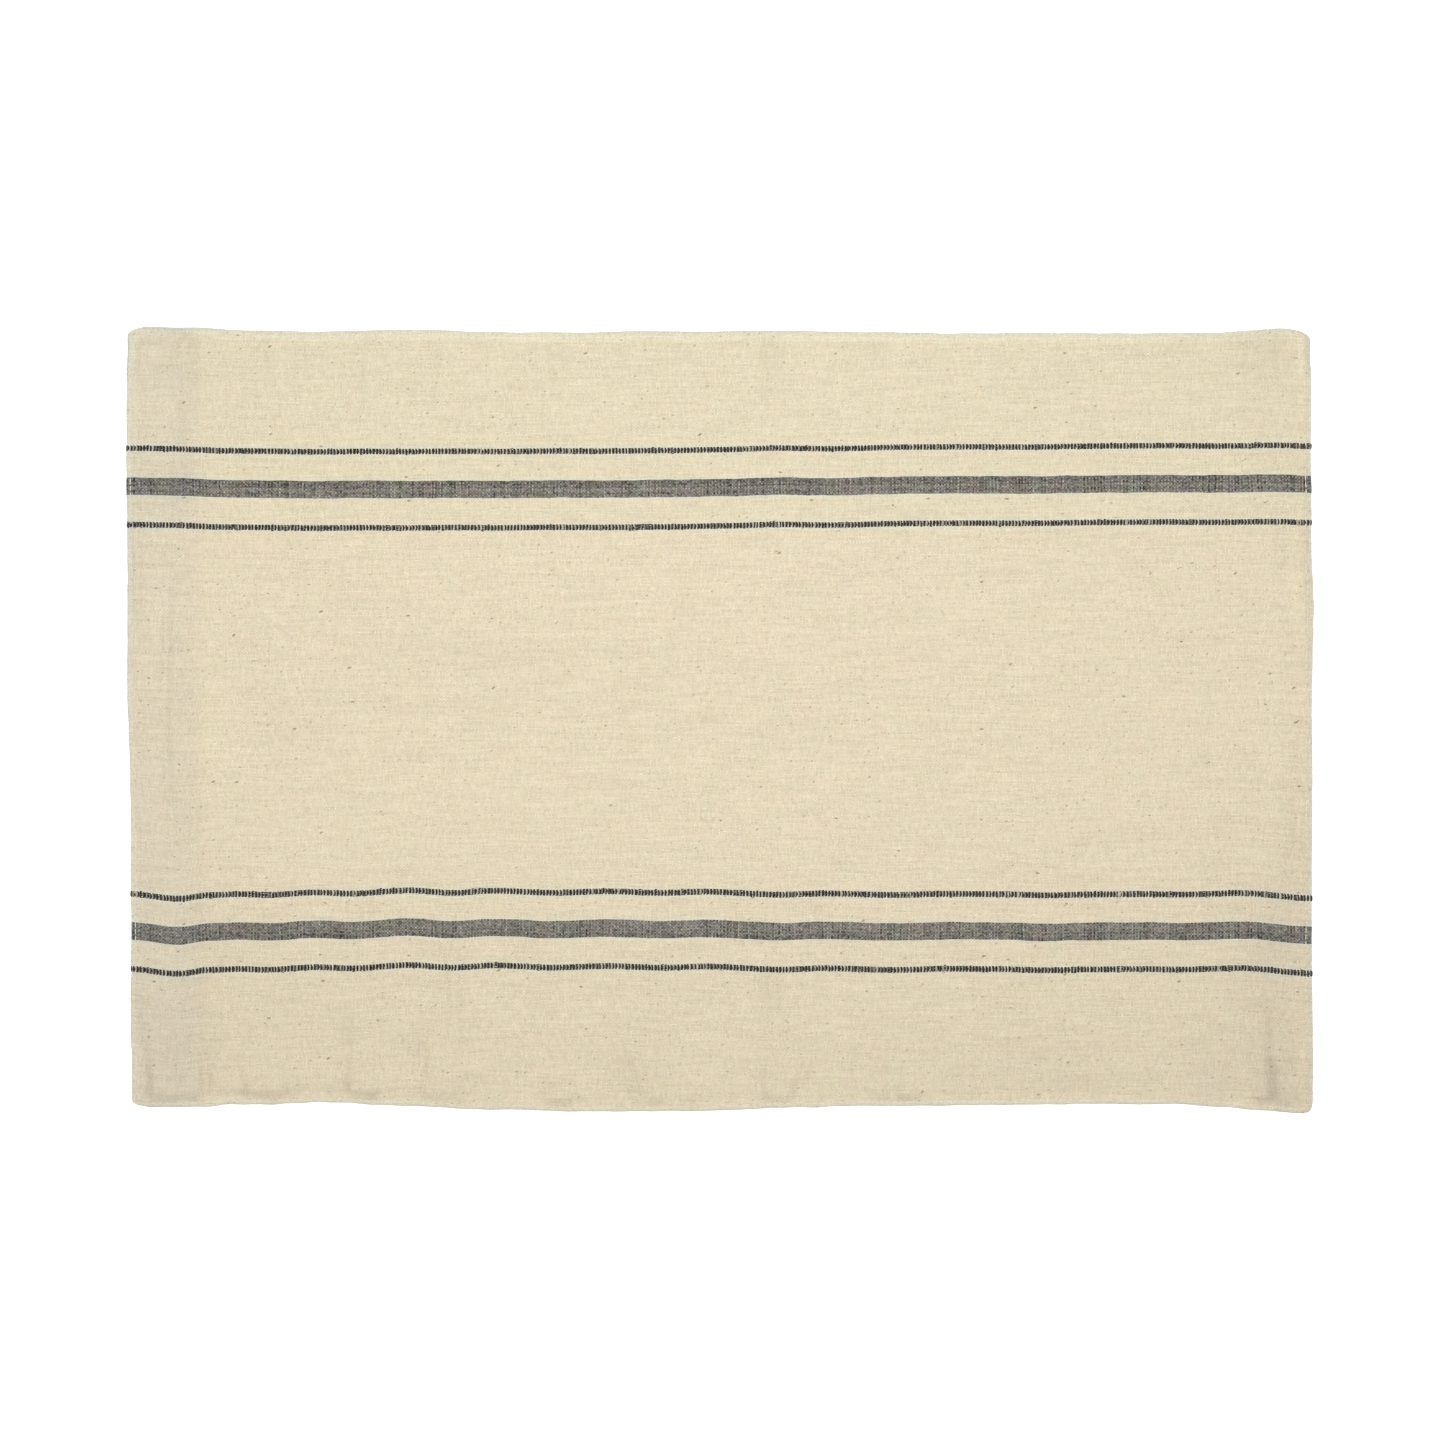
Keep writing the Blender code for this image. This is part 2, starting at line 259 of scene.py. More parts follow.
# Mesh lines: set distances in from each edge, then an even spacing. They lie close
# together along the mat, because most creases and walls run across it.
LINES_FROM_EDGE = [
    0, 0.06, 0.2, 0.42, 0.7, 1.0, 1.3, 1.6, 1.85, 2.1, 2.35, 2.6, 2.9, 3.3, 3.9,
]
LINES_FROM_END = LINES_FROM_EDGE + [
    4.6, 5.4, 6.4, 7.6, 9.0, 10.8, 13.0, 15.6, 18.6, 22.0, 26.0,
]
LINE_SPACING_ALONG = 1.05
LINE_SPACING_ACROSS = 5.0


def eased(share):
    """A share from 0 to 1, with a level start and end."""
    share = np.clip(share, 0.0, 1.0)
    return share * share * (3 - 2 * share)


def read_along(pairs, along):
    """Reads a table of pairs, a place and a value each, easing from each to the next."""
    places, values = np.array(pairs, float).T
    along = np.clip(along, places[0], places[-1])
    after = np.clip(np.searchsorted(places, along), 1, len(places) - 1)
    share = (along - places[after - 1]) / (places[after] - places[after - 1])
    return values[after - 1] + (values[after] - values[after - 1]) * eased(share)


def waves(x, y, spacing, seed, crossing=12):
    """Uneven waves over the cloth, about one high, made of many long crests that cross."""
    chance = np.random.default_rng(seed)
    total = np.zeros(np.broadcast(x, y).shape)
    for _ in range(crossing):
        heading = chance.uniform(0, pi)
        step = spacing * chance.uniform(0.7, 1.6)
        start = chance.uniform(0, 2 * pi)
        across = x * np.cos(heading) + y * np.sin(heading)
        total += np.sin(2 * pi * across / step + start)
    return total * np.sqrt(2 / crossing)


def rounded(x, y):
    """Draws the corners of the rectangle in, so that each is a quarter of an ellipse."""
    for side, end, reach_x, reach_y in CORNERS:
        past_x = 1 - (WIDTH / 2 - side * x) / reach_x
        past_y = 1 - (LENGTH / 2 - end * y) / reach_y
        turning = (past_x > 0) & (past_y > 0)
        past_x, past_y = np.clip(past_x, 0, 1), np.clip(past_y, 0, 1)
        round_x = past_x * np.sqrt(1 - past_y**2 / 2)
        round_y = past_y * np.sqrt(1 - past_x**2 / 2)
        x = np.where(turning, side * (WIDTH / 2 - reach_x * (1 - round_x)), x)
        y = np.where(turning, end * (LENGTH / 2 - reach_y * (1 - round_y)), y)
    return x, y


def laid_out(x, y):
    """Where a point of the straight rectangle lies once the edges are uneven."""
    round_x, round_y = rounded(x, y)
    to_right, to_top = round_x / WIDTH + 0.5, round_y / LENGTH + 0.5
    right = read_along(RIGHT_EDGE, y) + EDGE_WOBBLE * waves(0, y, SIDE_WOBBLE_SPACING, seed=3)
    left = read_along(LEFT_EDGE, y) + EDGE_WOBBLE * waves(0, y, SIDE_WOBBLE_SPACING, seed=4)
    top = read_along(TOP_EDGE, x) + EDGE_WOBBLE * waves(x, 0, END_WOBBLE_SPACING, seed=5)
    bottom = read_along(BOTTOM_EDGE, x) + EDGE_WOBBLE * waves(x, 0, END_WOBBLE_SPACING, seed=6)
    shift_x = to_right * right - (1 - to_right) * left
    shift_y = to_top * top - (1 - to_top) * bottom
    return round_x + shift_x, round_y + shift_y


def before_laying(x, y):
    """The point of the straight rectangle that comes to lie at this place on the mat."""
    straight_x, straight_y = x, y
    for _ in range(4):
        there_x, there_y = laid_out(straight_x, straight_y)
        straight_x, straight_y = straight_x + x - there_x, straight_y + y - there_y
    return straight_x, straight_y


def in_from_edges(x, y):
    """How far a point of the rectangle lies in from the nearer side and the nearer end."""
    return np.maximum(WIDTH / 2 - np.abs(x), 0), np.maximum(LENGTH / 2 - np.abs(y), 0)


def past_seam(x, y):
    """How far in from the edge stitching a point lies, and below 0 outside it."""
    from_side, from_end = in_from_edges(x, y)
    seam_side = np.where(x > 0, SEAM_IN_FROM_RIGHT, SEAM_IN_FROM_LEFT)
    seam_end = np.where(y > 0, SEAM_IN_FROM_TOP, SEAM_IN_FROM_BOTTOM)
    return np.minimum(from_side - seam_side, from_end - seam_end)


def creased(creases, x, y):
    """The rise and fall that long soft creases give the cloth."""
    rise = 0
    for middle_x, middle_y, half_length, half_width, degrees, height in creases:
        turn = radians(degrees)
        from_x, from_y = x - middle_x, y - middle_y
        along = from_x * np.cos(turn) + from_y * np.sin(turn)
        across = from_y * np.cos(turn) - from_x * np.sin(turn)
        fall = (along / half_length) ** 2 + (across / half_width) ** 2
        rise = rise + height * np.exp(-fall)
    return rise


def soft_relief(x, y):
    """The rise and fall of the cloth itself: creases, tucks, puffs, waves and puckers."""
    inside = np.maximum(past_seam(x, y), 0)
    rise = creased(CREASES, x, y) + creased(TUCKS, x, y)
    for middle, end, half_width, inwards, lean, height in PUFFS:
        from_end = LENGTH / 2 - end * y
        sideways = np.abs(x - middle - lean * from_end)
        side = eased((half_width - sideways) / PUFF_SIDE_WALL + 0.5)
        rise = rise + height * side * np.exp(-((from_end / inwards) ** 2))
    rise = rise + WAVE_HEIGHT * waves(x, y, WAVE_SPACING, seed=11)
    pucker = waves(x, y, PUCKER_SPACING, seed=12) * np.exp(-((inside / PUCKER_REACH) ** 2))
    return (rise + PUCKER_HEIGHT * pucker) * eased((inside + 0.2) / PUFF_SEAM_WALL)


def steepness(x, y):
    """How steeply the soft relief falls here, from 0 to 1 on a wall."""
    along = soft_relief(x + SLOPE_STEP, y) - soft_relief(x - SLOPE_STEP, y)
    across = soft_relief(x, y + SLOPE_STEP) - soft_relief(x, y - SLOPE_STEP)
    return np.clip(np.hypot(along, across) / (2 * SLOPE_STEP) * SHADE_PER_SLOPE, 0, 1)


def plain_height(x, y):
    """The height of the face away from the roll of its edge, without the seam's groove."""
    inset = np.minimum(*in_from_edges(x, y))
    border = BORDER_EXTRA * (1 - eased((inset - BORDER_WIDTH) / BORDER_FADE + 0.5))
    return CLOTH_THICKNESS + border + soft_relief(x, y)


def in_groove(x, y):
    """How deep in the seam's groove a point lies: 1 in its middle, and 0 well beside it."""
    return np.exp(-((past_seam(x, y) / GROOVE_HALF_WIDTH) ** 2))


def face_height(x, y):
    """The height of the cloth's face away from the roll of its edge."""
    return plain_height(x, y) - GROOVE_DEPTH * in_groove(x, y)


def up_the_roll(x, y, roll):
    """How far up its round edge a point lies: 0 at the edge itself, and 1 past the roll."""
    inset = np.minimum(*in_from_edges(x, y))
    return np.sqrt(1 - (1 - np.clip(inset / roll, 0, 1)) ** 2)


def rolled_top(x, y):
    """The height of the face, rolling down to the middle of the edge."""
    return EDGE_MIDDLE + (face_height(x, y) - EDGE_MIDDLE) * up_the_roll(x, y, EDGE_ROLL)


def rolled_underside(x, y):
    """The height of the back, which lies flat but for its edge and the groove in it."""
    up = up_the_roll(x, y, UNDERSIDE_ROLL)
    return EDGE_MIDDLE * (1 - up) + UNDERSIDE_GROOVE_DEPTH * in_groove(x, y) * up


def round_the_roll(inset, roll):
    """How much longer the way round the rolled edge is than straight across it."""
    angle = np.arcsin(np.clip(1 - inset / roll, 0, 1))
    return (roll + EDGE_MIDDLE) / 2 * angle - np.clip(roll - inset, 0, roll)


def thread_line(x, y):
    """The height of the middle pick of the upper stripe, were it drawn through here."""
    lower = read_along(LOWER_BAND, x) + BAND_SPACING
    upper = read_along(UPPER_BAND, x)
    share = eased((y + BAND_SPACING / 2) / BAND_SPACING)
    return lower + (upper - lower) * share


def mesh_lines(size, near_edge, spacing):
    """Places of the mesh lines across one side, close together near its two edges."""
    first = [-size / 2 + d for d in near_edge]
    middle = size - 2 * near_edge[-1]
    steps = round(middle / spacing)
    between = [first[-1] + middle * i / steps for i in range(1, steps)]
    return np.array(first + between + [-place for place in reversed(first)])


LINES_X = mesh_lines(WIDTH, LINES_FROM_EDGE, LINE_SPACING_ALONG)
LINES_Y = mesh_lines(LENGTH, LINES_FROM_END, LINE_SPACING_ACROSS)


def mesh_from(bm, name):
    """The finished mesh."""
    mesh = bpy.data.meshes.new(name)
    bm.to_mesh(mesh)
    bm.free()
    return mesh


def two_panels():
    """A flat grid over another, welded round the rim: the face above, the back below."""
    bm = bmesh.new()
    steps_x, steps_y = len(LINES_X) - 1, len(LINES_Y) - 1
    bmesh.ops.create_grid(bm, x_segments=steps_x, y_segments=steps_y, size=1.0)
    face = bm.verts[:] + bm.edges[:] + bm.faces[:]
    back = bmesh.ops.duplicate(bm, geom=face)["geom"]
    back_faces = [part for part in back if isinstance(part, bmesh.types.BMFace)]
    bmesh.ops.reverse_faces(bm, faces=back_faces)
    back_verts = {part for part in back if isinstance(part, bmesh.types.BMVert)}
    for vertex in bm.verts:
        if not vertex.is_boundary:
            vertex.co.z = -0.5 if vertex in back_verts else 0.5
    rim = [vertex for vertex in bm.verts if vertex.is_boundary]
    bmesh.ops.remove_doubles(bm, verts=rim, dist=1e-5)
    return mesh_from(bm, "cloth")


def read_points(mesh):
    """The mesh's vertices as rows of x, y and z."""
    points = np.empty(len(mesh.vertices) * 3)
    mesh.vertices.foreach_get("co", points)
    return points.reshape(-1, 3)


def give_map(mesh, name, across, up):
    """A UV map with these two values at each corner of each face."""
    layer = mesh.uv_layers.new(name=name)
    layer.uv.foreach_set("vector", np.stack([across, up], 1).astype(np.float32).ravel())


def shape_cloth(mesh):
    """Moves the flat grids to the cloth's form, and maps its threads onto it."""
    flat = read_points(mesh)
    x = LINES_X[np.rint((flat[:, 0] + 1) / 2 * (len(LINES_X) - 1)).astype(int)]
    y = LINES_Y[np.rint((flat[:, 1] + 1) / 2 * (len(LINES_Y) - 1)).astype(int)]
    there_x, there_y = laid_out(x, y)
    height = np.where(flat[:, 2] < -0.1, rolled_underside(x, y), rolled_top(x, y))
    mesh.vertices.foreach_set("co", (np.stack([there_x, there_y, height], 1) * MM).ravel())

    corners = np.empty(len(mesh.loops), int)
    mesh.loops.foreach_get("vertex_index", corners)
    starts = np.empty(len(mesh.polygons), int)
    mesh.polygons.foreach_get("loop_start", starts)
    counts = np.diff(np.append(starts, len(corners)))
    side = np.add.reduceat(flat[corners, 2], starts)
    on_back = np.repeat(side < 0, counts)
    from_side, from_end = in_from_edges(x[corners], y[corners])
    roll = np.where(on_back, UNDERSIDE_ROLL, EDGE_ROLL)
    more_x = np.sign(x[corners]) * round_the_roll(from_side, roll)
    more_y = np.sign(y[corners]) * round_the_roll(from_end, roll)
    up = there_y - thread_line(there_x, there_y)
    give_map(mesh, "threads", there_x[corners] + more_x, up[corners] + more_y)
    give_map(mesh, "hem", past_seam(x, y)[corners], x[corners])
    # The map of painted shading: on the steep walls of folds, and greyer or paler by place.
    steep = np.where(on_back, 0, steepness(x, y)[corners])
    shade = np.where(on_back, 0, creased(SHADES, x, y)[corners])
    give_map(mesh, "wear", steep, shade)
    mesh.shade_smooth()
    mesh.update()


class Value:
    """A number, a vector or a colour that changes over a surface, as a node's socket. Sums
    with it make Math nodes."""

    def __init__(self, socket):
        self.socket = socket

    def maths(self, operation, *others):
        node = self.socket.id_data.nodes.new("ShaderNodeMath")
        node.operation = operation
        for place, value in zip(node.inputs, (self, *others)):
            feed(place, value)
        return Value(node.outputs[0])

    __add__ = __radd__ = partialmethod(maths, "ADD")
    __sub__ = partialmethod(maths, "SUBTRACT")
    __mul__ = partialmethod(maths, "MULTIPLY")
    __truediv__ = partialmethod(maths, "DIVIDE")
    __pow__ = partialmethod(maths, "POWER")

    def __rsub__(self, other):
        return self * -1 + other

    def varied(self, strength):
        """A tone of about one, which a value from 0 to 1 changes by this much in all."""
        return self * strength + (1 - strength / 2)

    def ramp(self, low, high, out_low=0.0, out_high=1.0):
        """Goes smoothly from out_low at low to out_high at high."""
        sockets = {"From Min": low, "From Max": high, "To Min": out_low, "To Max": out_high}
        smooth = {"interpolation_type": "SMOOTHSTEP"}
        return node_with("ShaderNodeMapRange", smooth, Value=self, **sockets)["Result"]

    def falling(self, low, high):
        """Goes smoothly from 1 at low to 0 at high."""
        return self.ramp(low, high, 1.0, 0.0)


def feed(place, value):
    """Joins a value to a node's socket, or sets the socket where it is a plain number."""
    if isinstance(value, Value):
        place.id_data.links.new(value.socket, place)
    else:
        place.default_value = value


def fill(node, **sockets):
    """Feeds a node's sockets, each named with _ for a space."""
    for name, value in sockets.items():
        feed(node.inputs[name.replace("_", " ")], value)


def tree_of(values):
    """The node tree that some of these values are in."""
    return next(value.socket.id_data for value in values if isinstance(value, Value))


def node_with(kind, settings=None, tree=None, **sockets):
    """A node with its settings made and its sockets fed, as the Values that it gives."""
    node = (tree or tree_of(sockets.values())).nodes.new(kind)
    for name, value in (settings or {}).items():
        setattr(node, name, value)
    fill(node, **sockets)
    return {socket.name: Value(socket) for socket in node.outputs}


def read_map(tree, name):
    """The first two values of one of the mesh's UV maps, and the map as a vector."""
    vector = node_with("ShaderNodeUVMap", {"uv_map": name}, tree)["UV"]
    first, second, _ = split(vector)
    return first, second, vector


def joined(x, y, z=0.0):
    """Three values as one vector."""
    return node_with("ShaderNodeCombineXYZ", X=x, Y=y, Z=z)["Vector"]


def split(vector):
    """The three values of a vector."""
    return list(node_with("ShaderNodeSeparateXYZ", Vector=vector).values())


def noise(vector, scale=1.0, detail=1.0, output="Fac", roughness=0.5):
    """Smooth noise, about 0.5 on average, in the plane of the first two values."""
    return node_with(
        "ShaderNodeTexNoise", {"noise_dimensions": "2D"},
        Vector=vector, Scale=scale, Detail=detail, Roughness=roughness,
    )[output]


def chance_of(first, second=0.0):
    """A number from 0 to 1 by chance, one for each pair of whole numbers."""
    pair = joined(first, second)
    flat = {"noise_dimensions": "2D"}
    return node_with("ShaderNodeTexWhiteNoise", flat, Vector=pair)["Value"]


def blended(share, first, second, way="MIX"):
    """A mix of two colours, by this share of the second."""
    node = tree_of((share, first, second)).nodes.new("ShaderNodeMix")
    node.data_type = "RGBA"
    node.blend_type = way
    for place, value in zip((0, 6, 7), (share, first, second)):
        feed(node.inputs[place], value)
    return Value(node.outputs[2])


def darkened(colour, by):
    """A colour times another."""
    return blended(1.0, colour, by, "MULTIPLY")


def from_parts(red, green, blue):
    """A colour made of its three parts."""
    return node_with("ShaderNodeCombineColor", Red=red, Green=green, Blue=blue)["Color"]


def toned(colour, tone):
    """A colour with all three of its parts times a tone."""
    return darkened(colour, from_parts(tone, tone, tone))


def finish_surface(shader, colour, height, bumpiness, roughness):
    """Joins a cloth's or a yarn's colour, height in millimetres and roughness to its shader."""
    bump = node_with("ShaderNodeBump", Strength=bumpiness, Distance=MM, Height=height)
    fill(shader, Base_Color=colour, Roughness=roughness, Normal=bump["Normal"])
    fill(shader, Specular_IOR_Level=0.2)


def new_material(name):
    """A material, with its tree and its shader."""
    material = bpy.data.materials.new(name)
    material.use_nodes = True
    tree = material.node_tree
    return material, tree, tree.nodes["Principled BSDF"]


def make_cotton_fuzz():
    """The short fibres that stand off every cotton yarn: fine tone and fine height."""
    group = bpy.data.node_groups.new("cotton_fuzz", "ShaderNodeTree")
    for label, way, kind in (
        ("Place", "INPUT", "Vector"), ("Strength", "INPUT", "Float"),
        ("Tone", "OUTPUT", "Float"), ("Height", "OUTPUT", "Float"),
    ):
        group.interface.new_socket(label, in_out=way, socket_type=f"NodeSocket{kind}")
    takes = node_with("NodeGroupInput", tree=group)
    fine = noise(takes["Place"], scale=5.0, detail=3.0, roughness=0.65)
    coarse = noise(takes["Place"], scale=1.3, detail=2.0)
    both = (fine - 0.5) + (coarse - 0.5) * 0.7
    gives = group.nodes.new("NodeGroupOutput")
    fill(gives, Tone=both * takes["Strength"] + 1.0, Height=fine * 0.03)
    return group


cotton_fuzz = make_cotton_fuzz()


def fuzzy(place, strength):
    """The tone and the height that the fuzz gives a yarn here."""
    group = {"node_tree": cotton_fuzz}
    fuzz = node_with("ShaderNodeGroup", group, Place=place, Strength=strength)
    return fuzz["Tone"], fuzz["Height"]


def thread_count(u, v, threads):
    """Counts the threads across each way. They wander, and no two are quite as wide."""
    drift = split(noise(threads, scale=0.12, detail=2.0, output="Color"))
    warp = (u + (drift[0] - 0.5) * 1.1) / WARP_PITCH
    weft = (v + (drift[1] - 0.5) * 0.6) / WEFT_PITCH + 0.5
    return warp, weft


def round_across(off_middle, half_width):
    """The round top of a thread: 1 along its middle, and 0 at its sides and past them."""
    share = (off_middle / half_width) ** 2
    return (1 - share).maths("MAXIMUM", 0).maths("SQRT")


def plain_weave(warp, weft, fullness, corded):
    """Plain weave, thread over thread: its height, where the weft shows, its hollows, the
    tones of warp and weft, and its grain. Fullness says how much the weft hides the warp,
    and corded is 1 where several picks lie in one shed, and pass each end together."""
    end, pick = warp.maths("FLOOR"), weft.maths("FLOOR")
    off_end, off_pick = warp - end - 0.5, weft - pick - 0.5
    warp_tone = noise(joined(weft * 0.16, end * 3.73), detail=3.0, roughness=0.65)
    weft_tone = noise(joined(warp * 0.03, pick * 4.19), detail=4.0, roughness=0.55)
    warp_half = (warp_tone - 0.5) * 0.5 + 0.50
    weft_half = (weft_tone - 0.5) * 0.6 + 0.52

    together = 1 - corded
    parity = (end + pick * together).maths("FLOORED_MODULO", 2) * 2 - 1
    warp_over = (off_pick * together * pi).maths("COSINE") * parity
    weft_over = (off_end * pi).maths("COSINE") * parity * -1
    warp_height = warp_over * 0.5 + round_across(off_end, warp_half)
    weft_height = weft_over * 0.5 + round_across(off_pick, weft_half) + fullness
    height = warp_height.maths("MAXIMUM", weft_height)
    weft_shows = (weft_height - warp_height).ramp(-0.12, 0.12)
    grain = noise(joined(end * 5.3, pick * 7.7), detail=0.0)
    return height * 0.15, weft_shows, height.falling(0.25, 1.0), warp_tone, weft_tone, grain


def flecks(u, v, threads, spacing, share, size):
    """Bits of seed husk and lint that were spun into the yarn, each in a cell of its own."""
    cells = node_with(
        "ShaderNodeTexVoronoi", {"voronoi_dimensions": "2D", "feature": "F1"},
        Vector=joined(u / spacing, v / spacing), Scale=1.0,
    )
    chance, middle = split(cells["Color"]), split(cells["Position"])
    across, up = u - middle[0] * spacing, v - middle[1] * spacing
    slant = (chance[1] - 0.5) * 1.6
    long_way = across + up * slant
    short_way = up - across * slant
    stretch = chance[2] * 1.4 + 1.0
    away = ((long_way / stretch) ** 2 + short_way ** 2).maths("SQRT")
    ragged = noise(threads, scale=4.0) * 0.7 + 0.65
    radius = (chance[1] * 0.8 + 0.6) * size * ragged
    there = chance[0].maths("LESS_THAN", share)
    return (away / radius).ramp(1.15, 0.45) * there * (chance[2] * 0.7 + 0.3)


CREAM_WARP = (0.738, 0.645, 0.473, 1.0)
CREAM_WEFT = (0.708, 0.615, 0.446, 1.0)
CHARCOAL = (0.034, 0.034, 0.041, 1.0)
HUSK = (0.20, 0.155, 0.075, 1.0)
HOLLOW_SHADE = (0.80, 0.765, 0.69, 1.0)
WHITE = (1.0, 1.0, 1.0, 1.0)
# The warp in the wide stripes is darker than elsewhere: partly painted shade from the dark
# picks round it, and partly grey from charcoal lint.
SHADED_BAND_WARP = (0.250, 0.228, 0.192, 1.0)
BAND_WEFT = (0.155, 0.145, 0.128, 1.0)
BAND_HALF_WIDTH = BAND_PICKS * WEFT_PITCH / 2
BAND_FULLNESS = 0.38
FULLNESS_VARIETY = 0.35
CORD_FULLNESS = 0.55

# How much the heather of the wide stripes changes in tone: from end to end, in short
# runs, at every other end, from pick to pick, and slowly along each pick.
END_VARIETY = 0.40
RUN_VARIETY = 2.35
OTHER_END_VARIETY = 0.30
PICK_VARIETY = 0.35
ALONG_PICK_VARIETY = 0.50
DARKEST_HEATHER = 0.15

# How much the tone of the other yarns changes.
WARP_VARIETY = 0.50
WEFT_VARIETY = 0.42
CORD_VARIETY = 0.9
CROSSING_TO_CROSSING = 0.17
MOTTLE = 0.02

# How strongly the husks and the fainter lint show, and how red or blue yarns can turn.
HUSK_SHOWS = 0.80
LINT_SHOWS = 0.54
CREAM_HUE = 0.04
CHARCOAL_HUE = 0.15

# The cloth's colour differs a little by place. On the rolled rim it is painted greyer and
# cooler, paler at its very edge, and darker on the top roll and inside the right rim: painted
# shade where the roll turns from the lamp, and painted light at its edge. Just inside the top
# seam it is painted paler, as painted light.
RIM_SHADE_TINT = (1.00, 1.035, 1.12, 1.0)
OUTER_RIM_LIGHT_TINT = (1.03, 1.065, 1.11, 1.0)
TOP_FOLD_SHADE_TINT = (0.905, 0.955, 0.980, 1.0)
TOP_STRIP_LIGHT_TINT = (1.03, 1.05, 1.065, 1.0)
RIGHT_RIM_SHADE_TINT = (0.94, 0.95, 0.94, 1.0)
# Above the upper wide stripe the cream is a little less red, beside the stripes cooler, and
# over the turned-in borders darker, the left one greyer and cooler.
UPPER_TINT = (0.988, 1.004, 0.995, 1.0)
BESIDE_STRIPE_TINT = (0.963, 1.020, 1.092, 1.0)
LEFT_TINT = (0.968, 0.970, 0.980, 1.0)
COOLER_TINT = (0.988, 1.002, 1.026, 1.0)
RIGHT_TINT = (0.988, 0.988, 0.988, 1.0)
LEFT_TURNING = 28.5
RIGHT_TURNING = 13.0
# Painted shade in the seam's groove and on the steep walls of folds, and a slightly paler band
# just inside the seam.
GROOVE_SHADE = 0.02
SLOPE_SHADE_STRENGTH = 0.24
INSIDE_SEAM_PALER = 0.014

# Patches of greyer picks: the place of each along the mat and up from the upper wide
# stripe, its half length and half width, and how much greyer it is.
GREYER_PICKS = [
    (-95, -64.5, 48, 4.5, 0.028), (-128, -84.5, 46, 4.5, 0.010),
    (16, -96.5, 42, 5.0, 0.008), (110, -228.0, 40, 9.0, 0.022),
]


def in_row(place, middle, half_width):
    """1 where a place across the stripes is within half_width of the middle, else 0."""
    return (place - middle).maths("ABSOLUTE").maths("LESS_THAN", half_width)


def middle_of(cord):
    """How far the middle of a corded stripe lies above the upper wide stripe's."""
    return cord.offset - (BAND_SPACING if cord.band is LOWER_BAND else 0)


def greyer_picks(u, v):
    """The tone of the ground, a little lower where some picks were of greyer cotton."""
    falls = []
    for middle_u, middle_v, half_length, half_width, share in GREYER_PICKS:
        along, across = (u - middle_u) / half_length, (v - middle_v) / half_width
        fall = (along ** 2 + across ** 2) * -1
        falls.append(fall.maths("EXPONENT") * share)
    return 1 - sum(falls)


def heather(u, weft, end, pick):
    """The tone of the wide stripes, where charcoal and cream fibres were spun together."""
    changes = (
        (chance_of(end, 0.5), END_VARIETY),
        (noise(joined(end * 3.7, weft * 0.75)), RUN_VARIETY),
        ((end * 0.5).maths("FRACT") * 2, OTHER_END_VARIETY),
        (chance_of(pick, 7.5), PICK_VARIETY),
        (noise(joined(u * 0.05, pick * 0.3)), ALONG_PICK_VARIETY),
    )
    tone = sum((change - 0.5) * strength for change, strength in changes) + 1
    return tone.maths("MAXIMUM", DARKEST_HEATHER)


def tints_of_parts(v, seam, across, charcoal):
    """How far each part that differs in colour reaches, from 0 to 1, with its tint."""
    on_top = v.ramp(40.0, 44.0)
    near_right = across.ramp(WIDTH / 2 - 4.4, WIDTH / 2 - 4.0)
    inset = seam + SEAM_IN_FROM_LEFT + near_right * (SEAM_IN_FROM_RIGHT - SEAM_IN_FROM_LEFT)
    stripes = [(0.0, BAND_HALF_WIDTH), (-BAND_SPACING, BAND_HALF_WIDTH)]
    stripes += [(middle_of(cord), cord.width / 2) for cord in CORDS]
    beside = sum(
        (v - middle).maths("ABSOLUTE").falling(half_width + 0.2, half_width + 2.4)
        for middle, half_width in stripes
    )
    left_fold, right_fold = LEFT_TURNING - WIDTH / 2, WIDTH / 2 - RIGHT_TURNING
    return (
        # The first five are painted: shade and light on the rolled rim, and light inside the
        # top seam.
        ((inset + near_right).falling(2.0, 3.0), RIM_SHADE_TINT),
        (inset.falling(0.5, 1.0) * (1 - on_top), OUTER_RIM_LIGHT_TINT),
        (seam.falling(-1.2, -0.1) * on_top, TOP_FOLD_SHADE_TINT),
        (seam.falling(2.2, 2.6) * seam.ramp(0.2, 0.6) * on_top, TOP_STRIP_LIGHT_TINT),
        (inset.falling(2.3, 2.9) * inset.ramp(0.5, 0.9) * near_right, RIGHT_RIM_SHADE_TINT),
        (v.ramp(-22.0, -6.0) * (1 - charcoal), UPPER_TINT),
        (beside * (1 - charcoal), BESIDE_STRIPE_TINT),
        (across.falling(left_fold - 2, left_fold + 2), LEFT_TINT),
        (across.falling(left_fold - 7, left_fold - 2), COOLER_TINT),
        (across.ramp(right_fold - 2, right_fold + 2), RIGHT_TINT),
    )


